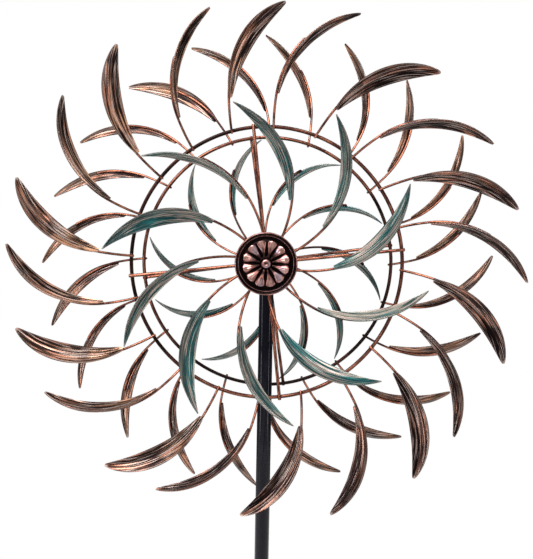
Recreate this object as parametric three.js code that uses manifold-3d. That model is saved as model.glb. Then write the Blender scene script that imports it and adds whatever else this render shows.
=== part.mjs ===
// Garden wind spinner: two counter-facing leaf rotors on one horizontal axle, carried by a
// three-section pole on a four-prong ground fork.
// Frame: millimetres, +Z up, origin at the centre of the underside of the step plate.
// The front rotor faces -Y. The back rotor is the same assembly turned to face +Y.
// Inside a rotor, "depth" is the distance from the centre plane towards the rotor's own outside,
// and "clock" angles run clockwise from straight up, seen from that outside.
import * as THREE from 'three';
import { mergeVertices } from 'three/addons/utils/BufferGeometryUtils.js';
import Module from 'manifold-3d';

const wasm = await Module();
wasm.setup();

// ---------------------------------------------------------------- driving dimensions
const AXLE_HEIGHT = 1410;
const AXLE_R = 4.0;
const AXLE_HALF_LENGTH = 103.6;
const RUNNING_BORE_R = 4.1;
const CLEAR_BORE_R = 4.3;

const POLE_R = 9.0;
const POLE_BORE_R = 8.2;
const SPIGOT_R = 7.9;
const SPIGOT_BORE_R = 7.1;
const SPIGOT_LENGTH = 50;
const LOWER_POLE_BASE = 5.3;
const LOWER_POLE_TOP = 475;
const MIDDLE_POLE_TOP = 942;
const JOINT_GAP = 0.3;
const HEAD_TUBE_R = 11.0;
const HEAD_TUBE_HALF_LENGTH = 24.0;

const STEP_PLATE_THICKNESS = 5;
const STEP_BAR_LENGTH = 150;
const STEP_BAR_WIDTH = 30;
const SOCKET_R = 12.4;
const SOCKET_BORE_R = 9.3;
const SOCKET_TOP = 66;
const PRONG_WIDTH = 22;
const PRONG_THICKNESS = 5;
const PRONG_DEPTH = 190;
const PRONG_SHOULDER = 130;
const PRONG_REACH = 66;

const HUB_TUBE_R = 11.3;
const HUB_TUBE_BORE_R = 9.0;
const HUB_TUBE_START = 24.5;
const HUB_TUBE_END = 96.0;
const BEARING_R = 8.7;
const BEARING_FLANGE_R = 10.6;
const SLEEVE_BORE_R = 11.7;

const RING_R = 162.2;
const RING_DEPTH = 46.0;
const RING_WIRE_R = 2.25;
const SPOKE_R = 2.0;
const SPOKE_DEPTH = 49.4;
const SPOKE_OVERRUN = 3.5;
const SPOKE_COUNT = 4;
const WHEEL_SLEEVE_R = 15.0;
const WHEEL_SLEEVE_START = 42.0;
const WHEEL_SLEEVE_END = 54.0;

const FLANGE_R = 16.5;
const FLANGE_START = 80.0;
const FLANGE_END = 90.5;

const COVER_R = 35.5;
const PETAL_COUNT = 12;
const PETAL_CLOCK = 16.5;

const ARM_R = 1.5;
const LEAF_THICKNESS = 1.0;
const LEAF_CUP = 3.2;

// Outlines of the two leaf blanks: half widths at the tip and the base, and how the width
// swells between them.
const OUTER_LEAF = { tip: 1.2, base: 2.4, fullness: 0.75, skew: 1.09 };
const INNER_LEAF = { tip: 0.4, base: 2.4, fullness: 0.95, skew: 1.0 };

// A blade is a wire arm that carries a cupped leaf on its outer side. Its centre line starts at
// startRadius and startDepth; heading is measured from the outward radial direction, clockwise,
// and pitch is the climb towards the outside. roll turns the leaf about the centre line, and
// curl is what it gains from base to tip. Lengths in mm, angles in degrees.
const WIDE_BLADE = {
  startRadius: 158.7, startDepth: 49.0, heading: 6, armLength: 42.2, armTurn: 8,
  leafLength: 134.3, leafTurn: 63, pitchStart: 17.6, pitchEnd: -4.3,
  roll: -47, curl: 10, halfWidth: 11.8, outline: OUTER_LEAF,
};
const NARROW_BLADE = {
  startRadius: 158.7, startDepth: 49.0, heading: 1.3, armLength: 42.2, armTurn: 10,
  leafLength: 142.7, leafTurn: 74, pitchStart: 17.6, pitchEnd: -4.3,
  roll: -76, curl: 8, halfWidth: 11.2, outline: OUTER_LEAF,
};
const INNER_OPEN_BLADE = {
  startRadius: 14.6, startDepth: 86.0, heading: -3.4, armLength: 65.2, armTurn: -25.3,
  leafLength: 141.9, leafTurn: -78.6, pitchStart: 8.6, pitchEnd: 32.8,
  roll: 30, curl: 25, halfWidth: 11.0, outline: INNER_LEAF,
};
const INNER_CLOSED_BLADE = { ...INNER_OPEN_BLADE, roll: 60, curl: 4 };
const WIRE_RUN_ON_LEAF = 0.5;
const LEAF_STATIONS = [0, 0.16, 0.34, 0.52, 0.7, 0.86, 0.95, 1];

// Phase of each rotor at rest, and how each arm is set by hand, clockwise from the first arm,
// which is a narrow one: its lean to the side and the twist of its leaf.
const ARM_COUNT = 20;
const FLOWER_COUNT = 10;
const ROTORS = [
  {
    name: 'front', turn: 0, spokeClock: -6.5, armClock: 2, flowerClock: 34.6,
    lean: [-4.5, 5, 6.5, 4, -1.5, 2, 3.5, -4.5, -2.5, 4, 6, -2.5, 1.5, -1, -1.5, -6, -3, -4.5, 1, 0.5],
    twist: [-6, 2, 0, -6, 0, 3, 7, 12, 20, 15, 0, 17, 1, 11, 9, 6, 8, 8, -5, -6],
    narrowCurl: 8,
    flowerLean: [-0.5, 0, -0.5, 2, 2, 1, -1, -1.5, -2, -2],
    flowerTwist: [14, 0, 8, 5, 4, 0, 0, 0, -2, 14],
  },
  {
    name: 'back', turn: Math.PI, spokeClock: 8.5, armClock: -0.5, flowerClock: 12.7,
    lean: [2.5, 6.5, 6.5, 3.5, 0, -1.5, -4.5, -3.5, -2.5, -4, 1.5, 4, 0, 0, 2, 1.5, -7, -2, -4, 2],
    twist: [6, 14, 9, -8, 6, -3, 6, -5, 10, -12, 12, -4, 12, -4, 11, -10, 4, -12, 4, -14],
    narrowCurl: 30,
    flowerLean: [-3, 2, 0, 6, 0, 1, 4, -3.5, -3, -1.5],
    flowerTwist: [22, 4, 16, 2, 20, 0, 18, 0, 20, 6],
  },
];

// ---------------------------------------------------------------- helpers
const rad = (degrees) => (degrees * Math.PI) / 180;

function finish(color, roughness, metalness) {
  return new THREE.MeshStandardMaterial({ color, roughness, metalness });
}

function closedGeometry(positions, triangles) {
  const geometry = new THREE.BufferGeometry();
  geometry.setAttribute('position', new THREE.Float32BufferAttribute(positions, 3));
  geometry.setIndex(triangles);
  return geometry;
}

function solid(source) {
  let geometry = source.clone();
  geometry.deleteAttribute('normal');
  geometry.deleteAttribute('uv');
  geometry = mergeVertices(geometry, 1e-4);
  return new wasm.Manifold(new wasm.Mesh({
    numProp: 3,
    vertProperties: Float32Array.from(geometry.attributes.position.array),
    triVerts: Uint32Array.from(geometry.index.array),
  }));
}

function fromSolid(manifold) {
  const mesh = manifold.getMesh();
  return closedGeometry(Array.from(mesh.vertProperties), Array.from(mesh.triVerts));
}

function union(geometries) {
  const [first, ...rest] = geometries.map(solid);
  return rest.reduce((sum, next) => sum.add(next), first);
}

// Revolves a closed [radius, height] outline about +Y; an outline off the axis closes on itself.
function revolve(outline, segments) {
  const points = outline.map(([r, y]) => new THREE.Vector2(r, y));
  if (outline[0][0] > 0) {
    points.push(points[0].clone());
  }
  return orientOutward(new THREE.LatheGeometry(points, segments));
}

// The same, with heights given as depths of the front rotor, whose outside faces -Y.
function revolveDepth(outline, segments) {
  return revolve(outline.map(([r, depth]) => [r, -depth]), segments);
}

function signedVolume(geometry) {
  const p = geometry.attributes.position;
  const index = geometry.index.array;
  const a = new THREE.Vector3();
  const b = new THREE.Vector3();
  const c = new THREE.Vector3();
  let sum = 0;
  for (let i = 0; i < index.length; i += 3) {
    a.fromBufferAttribute(p, index[i]);
    b.fromBufferAttribute(p, index[i + 1]);
    c.fromBufferAttribute(p, index[i + 2]);
    sum += a.dot(b.cross(c));
  }
  return sum / 6;
}

function orientOutward(geometry) {
  if (signedVolume(geometry) < 0) {
    const index = geometry.index.array;
    for (let i = 0; i < index.length; i += 3) {
      [index[i + 1], index[i + 2]] = [index[i + 2], index[i + 1]];
    }
  }
  return geometry;
}

// Skins a list of rings of points, each with the same number of points, and caps both ends.
function loft(rings) {
  const count = rings[0].length;
  const positions = rings.flat().flatMap((point) => [point.x, point.y, point.z]);
  const triangles = [];
  for (let i = 0; i < rings.length - 1; i += 1) {
    for (let j = 0; j < count; j += 1) {
      const a = i * count + j;
      const b = i * count + ((j + 1) % count);
      triangles.push(a, b, b + count, a, b + count, a + count);
    }
  }
  const last = (rings.length - 1) * count;
  for (let j = 1; j < count - 1; j += 1) {
    triangles.push(0, j + 1, j);
    triangles.push(last, last + j, last + j + 1);
  }
  return orientOutward(closedGeometry(positions, triangles));
}

// A point of the rotor given as tangential, radial and depth offsets at a clock angle.
function rotorPoint(x, y, depth, clock) {
  const c = Math.cos(rad(clock));
  const s = Math.sin(rad(clock));
  return new THREE.Vector3(x * c + y * s, -depth, -x * s + y * c);
}

// ---------------------------------------------------------------- blades
function bladeStations(blade, lean, twist) {
  const total = blade.armLength + blade.leafLength;
  const onLeaf = (s) => Math.max(0, s - blade.armLength) / blade.leafLength;
  const headingAt = (s) => {
    const onArm = Math.min(s, blade.armLength) / blade.armLength;
    return rad(blade.heading + lean + blade.armTurn * onArm + blade.leafTurn * onLeaf(s));
  };
  const pitchAt = (s) => rad(blade.pitchStart + ((blade.pitchEnd - blade.pitchStart) * s) / total);
  const steps = 400;
  const ds = total / steps;
  const line = [[0, blade.startRadius, blade.startDepth]];
  for (let i = 0; i < steps; i += 1) {
    const heading = headingAt((i + 0.5) * ds);
    const pitch = pitchAt((i + 0.5) * ds);
    const [x, y, d] = line[i];
    line.push([
      x + Math.sin(heading) * Math.cos(pitch) * ds,
      y + Math.cos(heading) * Math.cos(pitch) * ds,
      d + Math.sin(pitch) * ds,
    ]);
  }
  return (s) => {
    const heading = headingAt(s);
    const pitch = pitchAt(s);
    const side = [Math.cos(heading), -Math.sin(heading), 0];
    const out = [
      -Math.sin(heading) * Math.sin(pitch),
      -Math.cos(heading) * Math.sin(pitch),
      Math.cos(pitch),
    ];
    const roll = rad(blade.roll + twist + blade.curl * onLeaf(s));
    const cr = Math.cos(roll);
    const sr = Math.sin(roll);
    return {
      centre: line[Math.round(s / ds)],
      across: side.map((value, k) => value * cr + out[k] * sr),
      normal: out.map((value, k) => value * cr - side[k] * sr),
    };
  };
}

function leafHalfWidth(t, blade) {
  const { tip, base, fullness, skew } = blade.outline;
  const swell = Math.max(0, Math.sin(Math.PI * t ** skew)) ** fullness;
  const ends = tip + (base - tip) * (1 - t) ** 2;
  return ends + (blade.halfWidth - tip - 0.4) * swell;
}

function armSection() {
  const points = [];
  for (let k = 0; k < 8; k += 1) {
    const angle = rad(135 - 45 * k);
    points.push([ARM_R * Math.cos(angle), ARM_R * Math.sin(angle)]);
  }
  return points;
}

function leafSection(t, blade) {
  const w = leafHalfWidth(t, blade);
  const back = ARM_R - 0.3;
  const cup = (LEAF_CUP * w) / blade.halfWidth;
  const hasWire = t <= WIRE_RUN_ON_LEAF + 0.05;
  const wire = hasWire ? [[1.3, 0.4], [0, -ARM_R], [-1.3, 0.4]] : [[w * 0.4, back + cup * 0.3],
    [0, back], [-w * 0.4, back + cup * 0.3]];
  return [
    [-w, back + cup + LEAF_THICKNESS], [0, back + LEAF_THICKNESS], [w, back + cup + LEAF_THICKNESS],
    [w, back + cup], ...wire, [-w, back + cup],
  ];
}

function bladeGeometry(blade, clock, lean, twist) {
  const frameAt = bladeStations(blade, lean, twist);
  const place = (s, section) => {
    const { centre, across, normal } = frameAt(s);
    return section.map(([v, h]) => {
      const [x, y, d] = centre.map((value, k) => value + across[k] * v + normal[k] * h);
      return rotorPoint(x, y, d, clock);
    });
  };
  const rings = [
    place(0, armSection()),
    place(blade.armLength * 0.5, armSection()),
    place(blade.armLength - 0.8, armSection()),
  ];
  for (const t of LEAF_STATIONS) {
    rings.push(place(blade.armLength + blade.leafLength * t, leafSection(t, blade)));
  }
  return loft(rings);
}

// ---------------------------------------------------------------- rotor pieces
function wheelFrame(rotor) {
  const ring = new THREE.TorusGeometry(RING_R, RING_WIRE_R, 6, 52);
  ring.rotateX(Math.PI / 2);
  ring.translate(0, -RING_DEPTH, 0);
  const sleeve = revolveDepth([
    [SLEEVE_BORE_R, WHEEL_SLEEVE_START], [WHEEL_SLEEVE_R, WHEEL_SLEEVE_START],
    [WHEEL_SLEEVE_R, WHEEL_SLEEVE_END], [SLEEVE_BORE_R, WHEEL_SLEEVE_END],
  ], 24);
  const inner = WHEEL_SLEEVE_R - 1.5;
  const length = RING_R + SPOKE_OVERRUN - inner;
  const spokes = [];
  for (let k = 0; k < SPOKE_COUNT; k += 1) {
    const spoke = new THREE.CylinderGeometry(SPOKE_R, SPOKE_R, length, 8);
    spoke.rotateX(Math.PI / 2);
    spoke.translate(0, -SPOKE_DEPTH, inner + length / 2);
    spoke.rotateY(rad(rotor.spokeClock + (360 / SPOKE_COUNT) * k));
    spokes.push(spoke);
  }
  return fromSolid(union([ring, sleeve, ...spokes]));
}

function innerFlower(rotor) {
  const flange = revolveDepth([
    [SLEEVE_BORE_R, FLANGE_START], [FLANGE_R, FLANGE_START],
    [FLANGE_R, FLANGE_END], [SLEEVE_BORE_R, FLANGE_END],
  ], 24);
  const blades = [];
  for (let k = 0; k < FLOWER_COUNT; k += 1) {
    const blade = k % 2 === 0 ? INNER_OPEN_BLADE : INNER_CLOSED_BLADE;
    const clock = rotor.flowerClock + (360 / FLOWER_COUNT) * k;
    blades.push(bladeGeometry(blade, clock, rotor.flowerLean[k], rotor.flowerTwist[k]));
  }
  return fromSolid(union([flange, ...blades]));
}

function hubCover() {
  const dish = revolveDepth([
    [0, 104.4], [SLEEVE_BORE_R, 104.4], [SLEEVE_BORE_R, 91], [13.3, 91], [13.3, 103],
    [32.5, 101.6], [COVER_R, 102.4], [COVER_R, 105.2], [33.8, 106.4], [31.6, 104.8],
    [26.4, 104.2], [25, 105.6], [6.4, 105.6], [5.4, 107.4], [0, 108.6],
  ], 24);
  const petals = [];
  for (let k = 0; k < PETAL_COUNT; k += 1) {
    const petal = new THREE.SphereGeometry(1, 6, 4);
    petal.scale(3.2, 2.0, 9.2);
    petal.translate(0, -105.3, 15.6);
    petal.rotateY(rad(PETAL_CLOCK + (360 / PETAL_COUNT) * k));
    petals.push(petal);
  }
  return fromSolid(union([dish, ...petals]));
}

function hubTube() {
  return revolveDepth([
    [HUB_TUBE_BORE_R, HUB_TUBE_START], [HUB_TUBE_R, HUB_TUBE_START],
    [HUB_TUBE_R, HUB_TUBE_END], [HUB_TUBE_BORE_R, HUB_TUBE_END],
  ], 24);
}

function innerBearing() {
  return revolveDepth([
    [RUNNING_BORE_R, 25.5], [BEARING_R, 25.5], [BEARING_R, 37], [RUNNING_BORE_R, 37],
  ], 24);
}

function outerBearing() {
  return revolveDepth([
    [RUNNING_BORE_R, 84], [BEARING_R, 84], [BEARING_R, 96.3], [BEARING_FLANGE_R, 96.3],
    [BEARING_FLANGE_R, 97.3], [RUNNING_BORE_R, 97.3],
  ], 24);
}

function lockNut() {
  const hexagon = new THREE.Shape();
  for (let k = 0; k < 6; k += 1) {
    const angle = rad(60 * k);
    const point = [7.5 * Math.cos(angle), 7.5 * Math.sin(angle)];
    if (k === 0) {
      hexagon.moveTo(...point);
    } else {
      hexagon.lineTo(...point);
    }
  }
  hexagon.closePath();
  const hole = new THREE.Path();
  hole.absarc(0, 0, CLEAR_BORE_R, 0, Math.PI * 2, true);
  hexagon.holes.push(hole);
  const nut = new THREE.ExtrudeGeometry(hexagon, { depth: 5, bevelEnabled: false, curveSegments: 10 });
  nut.rotateX(Math.PI / 2);
  nut.translate(0, -97.6, 0);
  return nut;
}

// ---------------------------------------------------------------- stand pieces
function axle() {
  const end = AXLE_HALF_LENGTH;
  return revolve([
    [0, -end], [AXLE_R - 0.8, -end], [AXLE_R, 0.8 - end], [AXLE_R, end - 0.8],
    [AXLE_R - 0.8, end], [0, end],
  ], 24);
}

function poleSection(bottom, top) {
  const tube = revolve([
    [POLE_R, bottom], [POLE_R, top], [SPIGOT_R, top], [SPIGOT_R, top + SPIGOT_LENGTH],
    [SPIGOT_BORE_R, top + SPIGOT_LENGTH], [SPIGOT_BORE_R, top - 8],
    [POLE_BORE_R, top - 8], [POLE_BORE_R, bottom],
  ], 20);
  tube.rotateX(Math.PI / 2);
  return tube;
}

function upperPole() {
  const bottom = MIDDLE_POLE_TOP + JOINT_GAP;
  const top = AXLE_HEIGHT - 4;
  const tube = revolve([
    [POLE_R, bottom], [POLE_R, top], [POLE_BORE_R, top], [POLE_BORE_R, bottom],
  ], 20);
  tube.rotateX(Math.PI / 2);
  const head = revolve([
    [0, -HEAD_TUBE_HALF_LENGTH], [HEAD_TUBE_R, -HEAD_TUBE_HALF_LENGTH],
    [HEAD_TUBE_R, HEAD_TUBE_HALF_LENGTH], [0, HEAD_TUBE_HALF_LENGTH],
  ], 24);
  head.translate(0, 0, AXLE_HEIGHT);
  const bore = revolve([[0, -60], [CLEAR_BORE_R, -60], [CLEAR_BORE_R, 60], [0, 60]], 24);
  bore.translate(0, 0, AXLE_HEIGHT);
  return fromSolid(union([tube, head]).subtract(solid(bore)));
}

function prong(quarter) {
  const half = PRONG_WIDTH / 2;
  const outline = new THREE.Shape();
  outline.moveTo(-half, 1);
  outline.lineTo(-half, -PRONG_SHOULDER);
  outline.lineTo(-1, -PRONG_DEPTH);
  outline.lineTo(1, -PRONG_DEPTH);
  outline.lineTo(half, -PRONG_SHOULDER);
  outline.lineTo(half, 1);
  outline.closePath();
  const blade = new THREE.ExtrudeGeometry(outline, { depth: PRONG_THICKNESS, bevelEnabled: false });
  blade.rotateX(Math.PI / 2);
  blade.translate(0, PRONG_REACH + PRONG_THICKNESS, 0);
  blade.rotateZ(rad(45 + 90 * quarter));
  return blade;
}

function groundFork() {
  const pieces = [];
  for (const turn of [45, 135]) {
    const bar = new THREE.BoxGeometry(STEP_BAR_LENGTH, STEP_BAR_WIDTH, STEP_PLATE_THICKNESS);
    bar.translate(0, 0, STEP_PLATE_THICKNESS / 2);
    bar.rotateZ(rad(turn));
    pieces.push(bar);
  }
  const socket = revolve([
    [SOCKET_BORE_R, 2], [SOCKET_R, 2], [SOCKET_R, SOCKET_TOP], [SOCKET_BORE_R, SOCKET_TOP],
  ], 20);
  socket.rotateX(Math.PI / 2);
  pieces.push(socket);
  for (let quarter = 0; quarter < 4; quarter += 1) {
    pieces.push(prong(quarter));
  }
  return fromSolid(union(pieces));
}

// ---------------------------------------------------------------- assembly
const group = new THREE.Group();
group.name = 'wind_spinner';

function addPiece(parent, name, geometry, material) {
  const mesh = new THREE.Mesh(geometry, material);
  mesh.name = name;
  parent.add(mesh);
  return mesh;
}

const GLOSS_BLACK = [0x17181b, 0.22, 0.3];
const COPPER = [0x8a4a33, 0.42, 0.85];
const BRONZE = [0x4a3530, 0.5, 0.8];
const VERDIGRIS = [0x3f7472, 0.55, 0.5];
const STEEL = [0xa9abad, 0.35, 1.0];
const SINTERED = [0x9a7a4a, 0.6, 0.8];

addPiece(group, 'ground_fork', groundFork(), finish(...GLOSS_BLACK));
addPiece(group, 'pole_lower', poleSection(LOWER_POLE_BASE, LOWER_POLE_TOP), finish(...GLOSS_BLACK));
addPiece(
  group,
  'pole_middle',
  poleSection(LOWER_POLE_TOP + JOINT_GAP, MIDDLE_POLE_TOP),
  finish(...GLOSS_BLACK),
);
addPiece(group, 'pole_upper', upperPole(), finish(...GLOSS_BLACK));
addPiece(group, 'axle', axle(), finish(...STEEL)).position.set(0, 0, AXLE_HEIGHT);

for (const rotor of ROTORS) {
  const wheel = new THREE.Group();
  wheel.position.set(0, 0, AXLE_HEIGHT);
  wheel.rotation.z = rotor.turn;
  group.add(wheel);
  addPiece(wheel, `${rotor.name}_lock_nut`, lockNut(), finish(...STEEL));
  addPiece(wheel, `${rotor.name}_hub_tube`, hubTube(), finish(...COPPER));
  addPiece(wheel, `${rotor.name}_inner_bearing`, innerBearing(), finish(...SINTERED));
  addPiece(wheel, `${rotor.name}_outer_bearing`, outerBearing(), finish(...SINTERED));
  addPiece(wheel, `${rotor.name}_wheel_frame`, wheelFrame(rotor), finish(...COPPER));
  addPiece(wheel, `${rotor.name}_inner_flower`, innerFlower(rotor), finish(...VERDIGRIS));
  addPiece(wheel, `${rotor.name}_hub_cover`, hubCover(), finish(...COPPER));
  for (let k = 0; k < ARM_COUNT; k += 1) {
    const narrow = { ...NARROW_BLADE, curl: rotor.narrowCurl };
    const blade = k % 2 === 0 ? narrow : WIDE_BLADE;
    const clock = rotor.armClock + (360 / ARM_COUNT) * k;
    const label = String(k + 1).padStart(2, '0');
    addPiece(
      wheel,
      `${rotor.name}_leaf_${label}`,
      bladeGeometry(blade, clock, rotor.lean[k], rotor.twist[k]),
      finish(...BRONZE),
    );
  }
}

export default group;
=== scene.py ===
import math

import bmesh
import bpy
from mathutils import Matrix, Vector, noise


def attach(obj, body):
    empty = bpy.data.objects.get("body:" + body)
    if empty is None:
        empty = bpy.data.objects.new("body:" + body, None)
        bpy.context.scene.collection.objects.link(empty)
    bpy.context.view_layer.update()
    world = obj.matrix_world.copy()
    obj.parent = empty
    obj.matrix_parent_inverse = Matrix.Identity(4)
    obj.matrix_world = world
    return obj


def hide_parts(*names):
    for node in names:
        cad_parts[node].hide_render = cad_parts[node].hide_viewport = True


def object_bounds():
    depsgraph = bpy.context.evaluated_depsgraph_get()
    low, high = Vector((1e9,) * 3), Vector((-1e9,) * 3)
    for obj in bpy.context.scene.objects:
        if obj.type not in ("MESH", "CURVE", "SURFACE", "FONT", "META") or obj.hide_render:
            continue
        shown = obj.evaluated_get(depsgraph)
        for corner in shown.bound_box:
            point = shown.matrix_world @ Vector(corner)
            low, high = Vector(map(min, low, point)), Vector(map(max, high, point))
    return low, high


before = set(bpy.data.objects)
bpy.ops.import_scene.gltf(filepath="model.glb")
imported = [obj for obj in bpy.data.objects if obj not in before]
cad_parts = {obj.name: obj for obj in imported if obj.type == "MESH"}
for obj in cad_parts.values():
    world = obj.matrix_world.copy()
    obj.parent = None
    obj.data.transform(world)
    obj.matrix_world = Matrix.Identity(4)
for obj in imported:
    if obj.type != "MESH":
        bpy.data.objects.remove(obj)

CAD_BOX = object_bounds()

# ------------------------------------------------------------------ dimensions, mm
# These repeat part.mjs, so that each fine piece lies where its CAD node does.
MM = 0.001
AXLE_HEIGHT = 1410.0
RING_R = 162.2
RING_DEPTH = 46.0
RING_WIRE_R = 2.25
SPOKE_R = 2.0
SPOKE_DEPTH = 49.4
SPOKE_START = 13.6
SPOKE_END = RING_R + 3.5
SLEEVE_WELD_R = 15.2
ARM_R = 1.5
LEAF_THICKNESS = 1.0
LEAF_CUP = 3.2
LEAF_SEAT = ARM_R - 0.3
LEAF_WAVE = 0.35
OUTER_LEAVES = 20
OUTER_STEP = 18
INNER_LEAVES = 10
INNER_STEP = 36

# A leaf's outline: half widths at the ends in mm, fullness, and how far the widest place is skewed.
OUTER_LEAF = dict(tip=1.2, base=2.4, fullness=0.75, skew=1.09)
INNER_LEAF = dict(tip=0.4, base=2.4, fullness=0.95, skew=1.0)
# A blade: start radius and depth, arm and leaf length and half width in mm, the rest in degrees.
WIDE = dict(radius=158.7, depth=49.0, heading=6, arm=42.2, arm_turn=8, leaf=134.3, leaf_turn=63,
            pitch=(17.6, -4.3), roll=-47, curl=10, half=11.8, outline=OUTER_LEAF)
NARROW = dict(radius=158.7, depth=49.0, heading=1.3, arm=42.2, arm_turn=10, leaf=142.7, leaf_turn=74,
              pitch=(17.6, -4.3), roll=-76, curl=8, half=11.2, outline=OUTER_LEAF)
INNER_OPEN = dict(radius=14.6, depth=86.0, heading=-3.4, arm=65.2, arm_turn=-25.3, leaf=141.9,
                  leaf_turn=-78.6, pitch=(8.6, 32.8), roll=30, curl=25, half=11.0, outline=INNER_LEAF)
INNER_CLOSED = dict(INNER_OPEN, roll=60, curl=4)

# Each rotor: its turn about Z, the clock angle of its first spoke, arm and flower leaf, the clock
# angle at which its ring is unrubbed, and the lean, twist and pale tone of each leaf.
ROTORS = {
    "front": dict(
        turn=0.0, spoke=-6.5, arm=2.0, flower=34.6, unrubbed=292,
        lean=[-4.5, 5, 6.5, 4, -1.5, 2, 3.5, -4.5, -2.5, 4, 6, -2.5, 1.5, -1, -1.5, -6, -3, -4.5, 1, 0.5],
        twist=[-6, 2, 0, -6, 0, 3, 7, 12, 20, 15, 0, 17, 1, 11, 9, 6, 8, 8, -5, -6],
        narrow_curl=8,
        flower_lean=[-0.5, 0, -0.5, 2, 2, 1, -1, -1.5, -2, -2],
        flower_twist=[14, 0, 8, 5, 4, 0, 0, 0, -2, 14],
        flower_tone=[0, 0.2, 0.2, 0.85, 0, 0.15, 0.1, 0.25, 0, 0.75]),
    "back": dict(
        turn=math.pi, spoke=8.5, arm=-0.5, flower=12.7, unrubbed=200,
        lean=[2.5, 6.5, 6.5, 3.5, 0, -1.5, -4.5, -3.5, -2.5, -4, 1.5, 4, 0, 0, 2, 1.5, -7, -2, -4, 2],
        twist=[6, 14, 9, -8, 6, -3, 6, -5, 10, -12, 12, -4, 12, -4, 11, -10, 4, -12, 4, -14],
        narrow_curl=30,
        flower_lean=[-3, 2, 0, 6, 0, 1, 4, -3.5, -3, -1.5],
        flower_twist=[22, 4, 16, 2, 20, 0, 18, 0, 20, 6],
        flower_tone=[0, 0, 0.15, 0.2, 0, 0.1, 0, 0, 0.2, 0]),
}


# ------------------------------------------------------------------ mesh builder
class Build:
    """Collects vertices in mm, each with a flow coordinate, wear and tone, which also carry painted
    highlight and shade, then makes one object.
    """

    def __init__(self):
        self.verts = []
        self.flow = []
        self.wear_and_painted_light = []
        self.tone_and_painted_light = []
        self.faces = []
        self.slots = []

    def add(self, point, flow, wear_and_painted_light, tone_and_painted_light=0.0):
        self.verts.append(Vector(point))
        self.flow.append(tuple(flow))
        self.wear_and_painted_light.append(wear_and_painted_light)
        self.tone_and_painted_light.append(tone_and_painted_light)
        return len(self.verts) - 1

    def face(self, indices, slot=0):
        self.faces.append(tuple(indices))
        self.slots.append(slot)

    def grid(self, rows, slot=0, wrap=False, flip=False):
        """Faces between successive rows of vertex indices."""
        for a, b in zip(rows, rows[1:]):
            n = len(a)
            for j in range(n if wrap else n - 1):
                k = (j + 1) % n
                quad = (a[j], a[k], b[k], b[j])
                self.face(quad[::-1] if flip else quad, slot)

    def merge(self, other, place):
        """Adds another build's shape, moved by a matrix."""
        offset = len(self.verts)
        for vertex, flow, wear_and_painted_light in zip(other.verts, other.flow, other.wear_and_painted_light):
            self.add(place @ vertex, flow, wear_and_painted_light)
        for indices in other.faces:
            self.face([i + offset for i in indices])

    def object(self, name, materials, place=None, sharp=35.0):
        """Makes the object. place moves it, in mm; edges over sharp degrees are shaded hard."""
        mesh = bpy.data.meshes.new(name)
        where = place or Matrix.Identity(4)
        mesh.from_pydata([(where @ v) * MM for v in self.verts], [], self.faces)
        mesh.validate()
        flow = mesh.attributes.new("flow", "FLOAT_VECTOR", "POINT")
        flow.data.foreach_set("vector", [c for f in self.flow for c in f])
        for key, values in (("wear_and_painted_light", self.wear_and_painted_light), ("tone_and_painted_light", self.tone_and_painted_light)):
            mesh.attributes.new(key, "FLOAT", "POINT").data.foreach_set("value", values)
        for material in materials:
            mesh.materials.append(material)
        mesh.polygons.foreach_set("material_index", self.slots)
        mesh.shade_smooth()
        mesh.set_sharp_from_angle(angle=math.radians(sharp))
        outward(mesh)
        obj = bpy.data.objects.new(name, mesh)
        bpy.context.scene.collection.objects.link(obj)
        return obj


def outward(mesh):
    """Makes every closed shell of a mesh face outwards."""
    bm = bmesh.new()
    bm.from_mesh(mesh)
    bmesh.ops.recalc_face_normals(bm, faces=bm.faces)
    bm.to_mesh(mesh)
    bm.free()


def lerp(a, b, t):
    return a + (b - a) * t


def smooth(a, b, x):
    t = min(1.0, max(0.0, (x - a) / (b - a)))
    return t * t * (3 - 2 * t)


def rotor_point(x, y, depth, clock):
    """A place given tangentially, radially and in depth, turned to a clock angle in degrees."""
    c, s = math.cos(math.radians(clock)), math.sin(math.radians(clock))
    return Vector((x * c + y * s, -depth, -x * s + y * c))


def turned(u, clock):
    """The same for a vector in those terms, a place or a direction."""
    return rotor_point(u[0], u[1], u[2], clock)


def rotor_matrix(rotor):
    return Matrix.Translation((0, 0, AXLE_HEIGHT)) @ Matrix.Rotation(rotor["turn"], 4, "Z")


def circle(radius, angle, depth):
    """A place on a circle about the axle, with the angle in radians clockwise from the top."""
    return Vector((radius * math.sin(angle), -depth, radius * math.cos(angle)))


def painted_facing_light(direction):
    """Painted highlight and shade on a wire's skin: bright on its faces to the front and back, painted dark
    at its sides.
    """
    return 0.1 + 0.85 * smooth(0.55, 0.97, abs(direction.y))


def tube(build, points, radii, seed, sides=14):
    """A round bar through points with a radius at each, closed at both ends."""
    rows = []
    along = 0.0
    normal = None
    for i, p in enumerate(points):
        tangent = (points[min(i + 1, len(points) - 1)] - points[max(i - 1, 0)]).normalized()
        if normal is None:
            normal = tangent.orthogonal().normalized()
        normal = (normal - tangent * normal.dot(tangent)).normalized()
        other = tangent.cross(normal)
        if i:
            along += (p - points[i - 1]).length
        row = []
        for j in range(sides):
            a = 2 * math.pi * j / sides
            away = normal * math.cos(a) + other * math.sin(a)
            # Each wire's skin gets a painted highlight on its faces to the front and back and painted shade
            # at its sides.
            row.append(build.add(p + away * radii[i], (along, a * radii[i], seed), painted_facing_light(away)))
        rows.append(row)
    build.grid(rows, wrap=True)
    build.face(rows[0][::-1])
    build.face(rows[-1])


SHOULDER_SCALE = 0.88


def rounded_stops(length, shoulder, rounding, steps):
    """Lengths along a bar, closer together at its rounded ends."""
    middle = [lerp(rounding, length - rounding, k / steps) for k in range(1, steps)]
    return [0.0, shoulder, rounding] + middle + [length - rounding, length - shoulder, length]


def rounded_radius(s, length, radius, shoulder_end, end_scale):
    """A bar's radius at a length: full, less at the shoulder, least at the very end."""
    edge = min(s, length - s)
    if edge <= 0:
        return radius * end_scale
    return radius * (SHOULDER_SCALE if edge < shoulder_end else 1.0)


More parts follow.
